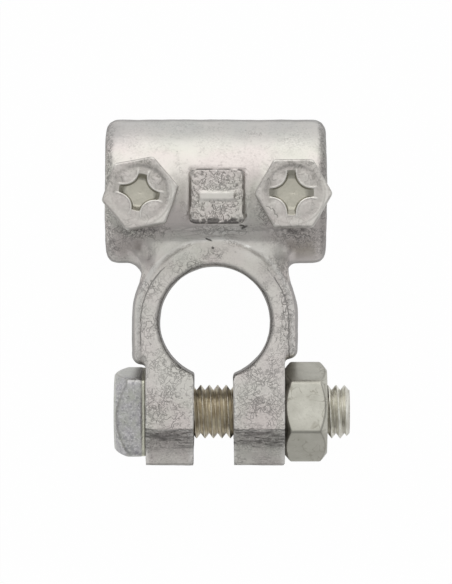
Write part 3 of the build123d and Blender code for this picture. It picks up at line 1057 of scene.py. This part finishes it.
# The two cable screws: cold-headed M6 hexagon screws with a sunken top, in which four domed lobes
# leave a cross for the driver. They stand on their threads, clear of the cable's bore.
screw_turns = 192
screw_pitch = 1.0
screw_crest = 2.94
screw_thread_depth = 0.6
screw_thread_phase = 0.3
screw_across_flats = 9.8
screw_corner_sharpness = 42
screw_head_height = 4.0
screw_edge_radius = 0.35
screw_bottom = corners("left_cable_screw")[0][2]
dish_radius = 4.15
dish_depth = 0.12
groove_depth = 0.05
cross_depth = 0.95
cross_floor_half_span = 2.05
cross_arm_half_width = 0.6
lobe_radius = 2.3
lobe_wall_slope = 6.0
# bright and dark are the ways in plan, in degrees, of each rim's painted highlight and painted shade.
screw_heads = {
    "left": {
        "hexagon": 10.5, "cross": -11.5, "middle": (-0.1, 0.15), "half_span": 3.0, "squat": 1.1,
        "groove": 60.0, "bright": -22.0, "dark": 78.0, "dark_spread": 2.2, "crack": (),
    },
    "right": {
        "hexagon": 0.0, "cross": 0.0, "middle": (-0.3, 0.1), "half_span": 3.25, "squat": 1.0,
        "groove": 100.0, "bright": -25.0, "dark": 112.0, "dark_spread": 1.5,
        "crack": (
            (-3.9, -1.9), (-3.45, -2.05), (-3.3, -2.3), (-3.0, -2.25), (-2.75, -2.6), (-2.7, -3.0),
            (-2.35, -3.2), (-2.3, -3.55),
        ),
    },
}


def off_lobes(across, up):
    """Distance past the nearest of four round lobes, whose centres lie on the cross's diagonals."""
    centre = cross_arm_half_width + lobe_radius
    return np.hypot(np.abs(across) - centre, np.abs(up) - centre) - lobe_radius


def on_cross(x, y, look):
    """A point seen from the driver's cross: along its first arm and along its second."""
    x, y = x - look["middle"][0], y - look["middle"][1]
    turn = math.radians(look["cross"])
    along_second = y * math.cos(turn) - x * math.sin(turn)
    return x * math.cos(turn) + y * math.sin(turn), along_second * look["squat"]


def cross_drop(across, up, half_span):
    """Depth of the driver's cross: the least of its floor, the lobes' steep walls and the arms' ends."""
    reach = np.hypot(across, up)
    end_slope = cross_depth / (half_span - cross_floor_half_span)
    drop = soft_min(lobe_wall_slope * off_lobes(across, up), end_slope * (half_span - reach), 0.25)
    return np.maximum(soft_min(drop, cross_depth - 0.06 * reach, 0.25), 0)


def facing(x, y, way):
    """From 0 to 1: how far a point lies towards a way in plan, (1 + cos(angle - way)) / 2."""
    return 0.5 + 0.5 * np.cos(np.arctan2(y, x) - math.radians(way))


def off_crack(x, y, path):
    """Distance in plan from a path of short straight stretches."""
    nearest = np.full(np.shape(x), np.inf)
    for (x0, y0), (x1, y1) in zip(path, path[1:]):
        run = (x1 - x0) ** 2 + (y1 - y0) ** 2
        share = np.clip(((x - x0) * (x1 - x0) + (y - y0) * (y1 - y0)) / run, 0, 1)
        nearest = np.minimum(nearest, np.hypot(x - x0 - share * (x1 - x0), y - y0 - share * (y1 - y0)))
    return nearest


def screw_top(x, y, look):
    """Height of the head's top against its rim: a sunken dish and groove, petals with lips, the cross."""
    across, up = on_cross(x, y, look)
    reach = np.hypot(x, y)
    inside = step(reach, dish_radius + 0.25, dish_radius - 0.45)
    lean = 0.25 + 0.75 * facing(x, y, look["groove"])
    groove = groove_depth * lean * np.exp(-(((reach - dish_radius + 0.5) / 0.5) ** 2))
    petal = 0.09 * step(np.hypot(np.abs(across) - 2.1, np.abs(up) - 2.1), 1.5, 0.3)
    lip = 0.07 * np.exp(-(((off_lobes(across, up) + 0.16) / 0.13) ** 2)) * step(reach, 3.7, 3.2)
    crack = 0.07 * step(off_crack(x, y, look["crack"]), 0.12, 0.03)
    plan = np.stack([x.ravel(), y.ravel(), 0 * x.ravel()], axis=1)
    worn = 0.012 * ripples(plan, 1.6, 51).reshape(x.shape)
    sunk = dish_depth * inside * lean + groove + crack + cross_drop(across, up, look["half_span"])
    return petal + lip + worn - sunk


def screw_surface(axis, top, look):
    """A screw from the middle of its top to its tip: top, rounded edge, sides, underside and thread."""
    angle = np.linspace(0, 2 * np.pi, screw_turns, endpoint=False)[:, None]
    flat = 0 * angle
    turned = math.radians(look["hexagon"] + 30)
    outline = polygon_outline(angle - turned, 6, screw_across_flats / 2, screw_corner_sharpness)
    top_radius = (outline - screw_edge_radius) * np.linspace(0.012, 1, 92)[None]
    top_height = screw_top(top_radius * np.cos(angle), top_radius * np.sin(angle), look)
    arc = np.linspace(0, np.pi / 2, 8)[None, 1:]
    arc_radius = outline - screw_edge_radius * (1 - np.sin(arc))
    arc_height = -screw_edge_radius * (1 - np.cos(arc)) + flat
    side = np.linspace(screw_edge_radius + 0.3, screw_head_height - 0.15, 10)[None]
    side_radius = outline + 0.012 * side
    under = np.linspace(0, 1, 7)[None]
    under_radius = (outline - 0.12) * (1 - under) + (screw_crest - 0.2) * under
    under_height = -screw_head_height + 0 * under + flat
    length = top - screw_head_height - screw_bottom
    down = np.linspace(0.02, length, int(length / screw_pitch * 16))[None] + flat
    thread = thread_radius(-down, angle, screw_pitch, screw_thread_phase, screw_crest, screw_thread_depth)
    run_out = step(down, 0.4, 1.3)
    thread = thread * run_out + (screw_crest - 0.3) * (1 - run_out)
    thread = soft_min(thread, screw_crest - 0.6 + (length - down), 0.1)
    radius = np.concatenate([top_radius, arc_radius, side_radius, under_radius, thread], axis=1)
    height = [top_height, arc_height, flat - side, under_height, -screw_head_height - down]
    height = top + np.concatenate(height, axis=1)
    grid = np.stack([axis[0] + radius * np.cos(angle), axis[1] + radius * np.sin(angle), height], axis=-1)
    middle = screw_top(np.zeros(1), np.zeros(1), look)[0]
    return lathe(grid, [[*axis, top + middle], [*axis, screw_bottom]])


screw_grey = ((0.60, 0.56, 0.535, 1), (0.625, 0.60, 0.565, 1))
screw_mottle = (0.34, 0.33, 0.31, 1)
screw_speck = (0.30, 0.29, 0.27, 1)
screw_glint = (0.85, 0.84, 0.80, 1)
screw_scratch = (0.25, 0.24, 0.22, 1)
cross_greenish = (0.50, 0.485, 0.405, 1)
screw_shaded = (0.22, 0.21, 0.185, 1)
screw_highlight = (0.88, 0.87, 0.82, 1)


def plated_screw():
    """Warm grey plating: painted highlights on the rims, a greenish cross darkened as painted shade, painted shade
    in corners and a fine even grain.
    """
    material, place = new_finish("plated_screw")
    grain, clouds, _ = grain_of(place, 2600.0, 520.0, 1300.0)
    mottle = noise(place, 1100.0, roughness=0.6)["Fac"]
    worn = share_of(place, "worn")
    speckled = ranged(worn, 0, 1, 0.15, 0.5)
    base = coated(tinted(clouds, *screw_grey), (
        (ranged(mottle, 0.52, 0.36), speckled, screw_mottle),
        (ranged(grain, 0.45, 0.1), speckled, screw_speck),
        (ranged(grain, 0.6, 1.0), 0.35, screw_glint),
        (lines_of(place, 900.0, 0.045, 0.52), ranged(worn, 0, 1, 0.4, 0.75), screw_scratch),
        # The cross's greenish tint, laid darker as painted shade.
        (share_of(place, "recess"), 0.8, cross_greenish),
        (share_of(place, "hollow"), 0.6, screw_shaded),
        # Painted highlights on the rim, lips and edges.
        (share_of(place, "ridge"), 0.6, screw_highlight),
    ))
    height = worked("ADD", grain, mottle)
    close_metal(base, ranged(grain, 0.0, 1.0, 0.30, 0.42), height, 0.016)
    return material


screw_finish = plated_screw()
for (side, look), axis in zip(screw_heads.items(), screw_axes):
    node = f"{side}_cable_screw"
    top = corners(node)[1][2]
    screw_points, screw_faces = screw_surface(axis, top, look)
    screw = make_piece(
        f"{side}_screw_plated", screw_points, screw_faces, f"{side}_screw", node
    )
    turn_out(screw)
    stand = bend_of(*mesh_arrays(screw.data), 1)
    x, y = (screw_points[:, :2] - axis).T
    reach = np.hypot(x, y)
    below = top - screw_points[:, 2]
    on_top = below < 2.2
    across, up = on_cross(x, y, look)
    wall = off_lobes(across, up)
    cross_reach = np.hypot(across, up)
    in_cross = step(wall, -0.02, 0.1) * (cross_reach < look["half_span"]) * on_top
    arm_ends = in_cross * step(cross_reach, cross_floor_half_span - 0.2, cross_floor_half_span + 0.5)
    arm_ends *= facing(x, y, 90.0) ** 3 + 2.2 * facing(x, y, -90.0) ** 4
    lit = facing(x, y, look["bright"]) ** 6
    lip = line_at(wall, -0.1, 0.05, 0.17) * step(reach, 3.7, 3.3) * on_top
    rim_band = step(reach, dish_radius - 0.1, dish_radius + 0.15) * (below < 0.5)
    shade = line_at(reach, dish_radius + 0.15, 0.15, 0.5) * on_top
    shade *= facing(x, y, look["dark"]) ** look["dark_spread"]
    shade *= 0.55 + 0.45 * step(ripples(screw_points, 0.8, 52), -0.4, 0.4)
    rim_glow = line_at(reach, dish_radius + 0.65, 0.08, 0.25) * lit * (below < 0.3)
    dark_arc = line_at(reach, dish_radius + 0.35, 0.05, 0.16) * lit * on_top
    outline = window(below, 0.04, 0.14, 0.5, 0.9) * (0.35 + 0.65 * facing(x, y, -105.0))
    crack = step(off_crack(x, y, look["crack"]), 0.13, 0.05) * (below < 1)
    under_head = step(reach, 2.8, 2.5) * (below > screw_head_height + 0.05)
    creases = np.where(on_top, 0.4, 1.0) * step(-stand, 0.003, 0.02)
    # Painted shade under the head, along its lower edges, in creases, in a dark arc and band on the rim, at the
    # arms' ends and in the right head's crack; painted highlights on the rim, the lobes' lips and convex edges;
    # the cross greenish and darker.
    paint(
        screw,
        recess=in_cross,
        hollow=most(
            (1, under_head), (1, outline), (0.9, crack), (0.8, creases), (0.7, dark_arc), (0.52, shade),
            (0.25, arm_ends),
        ),
        ridge=most(
            (1, rim_glow), (0.7, lip), (0.7, step(stand, 0.002, 0.012) * (below < 1.2)),
            (0.5, rim_band * lit),
        ),
        worn=facing(x, y, look["dark"]) * step(reach, 2.5, 3.5) * on_top + (below > 0.6),
    )
    screw.data.materials.append(screw_finish)


# The bench: a wide pale sheet under the clamp, a soft light overhead, a large window behind the
# cable tube, and a pale room all round, brighter towards the window.
floor_half = 3.0
floor_points = np.array([[-1, -1, 0], [1, -1, 0], [1, 1, 0], [-1, 1, 0]]) * floor_half
floor_mesh = bpy.data.meshes.new("bench_top")
floor_mesh.from_pydata(floor_points, [], [(0, 1, 2, 3)])
in_scene("bench_top", floor_mesh)
white = (1, 1, 1, 1)
paper_white = (0.86, 0.86, 0.86, 1)
room_white = (0.99, 0.998, 1.0, 1)


def seen_share(near, camera_share, mirror_share):
    """How much of the plain white backdrop a ray sees: straight rays one share, mirrored ones another."""
    ray = lay(near, "LightPath", {})
    mirrored = larger(ray["Is Glossy Ray"], ray["Is Transmission Ray"])
    straight = times(ray["Is Camera Ray"], camera_share)
    return larger(straight, times(mirrored, mirror_share))


def bench_paper():
    """White paper that shows as plain white, with some of the shadow that falls on it."""
    material, place = new_finish("bench_paper")
    paper = lay(place, "BsdfDiffuse", {"Color": paper_white})[0]
    glow = lay(place, "Emission", {"Color": white, "Strength": 1.0})[0]
    mixed = lay(place, "MixShader", {0: seen_share(place, 0.985, 0.56), 1: paper, 2: glow})[0]
    lay(place, "OutputMaterial", {"Surface": mixed})
    return material


floor_mesh.materials.append(bench_paper())
room = bpy.data.worlds.new("pale_room")
room.use_nodes = True
tree = room.node_tree
tree.nodes.clear()
room_way = lay(tree, "TexCoord", {})["Generated"]
room_level = ranged(axes_of(room_way)["Y"], -0.95, 0.9, 0.27, 0.66)
room_light = lay(tree, "Background", {"Color": room_white, "Strength": room_level})[0]
backdrop = lay(tree, "Background", {"Color": white, "Strength": 1.0})[0]
room_mix = lay(tree, "MixShader", {0: seen_share(tree, 1.0, 0.22), 1: room_light, 2: backdrop})[0]
lay(tree, "OutputWorld", {"Surface": room_mix})
bpy.context.scene.world = room


def panel_light(name, place, turn, width, depth, radiance, colour):
    """A flat soft light, unseen itself: its power is radiance times pi times its area."""
    data = bpy.data.lights.new(name, "AREA")
    data.shape = "RECTANGLE"
    data.size = width
    data.size_y = depth
    data.energy = radiance * math.pi * width * depth
    data.color = colour
    light = in_scene(name, data)
    light.location = place
    light.rotation_euler = turn
    light.visible_camera = False


level = (0, 0, 0)
upright = (math.radians(-90), 0, 0)
panel_light("ceiling_panel", (0, 0, 1.3), level, 1.1, 1.1, 0.31, (1.0, 0.985, 0.96))
panel_light("window_panel", (0, 0.8, 0.78), upright, 1.7, 1.5, 0.73, (1.0, 0.985, 0.965))
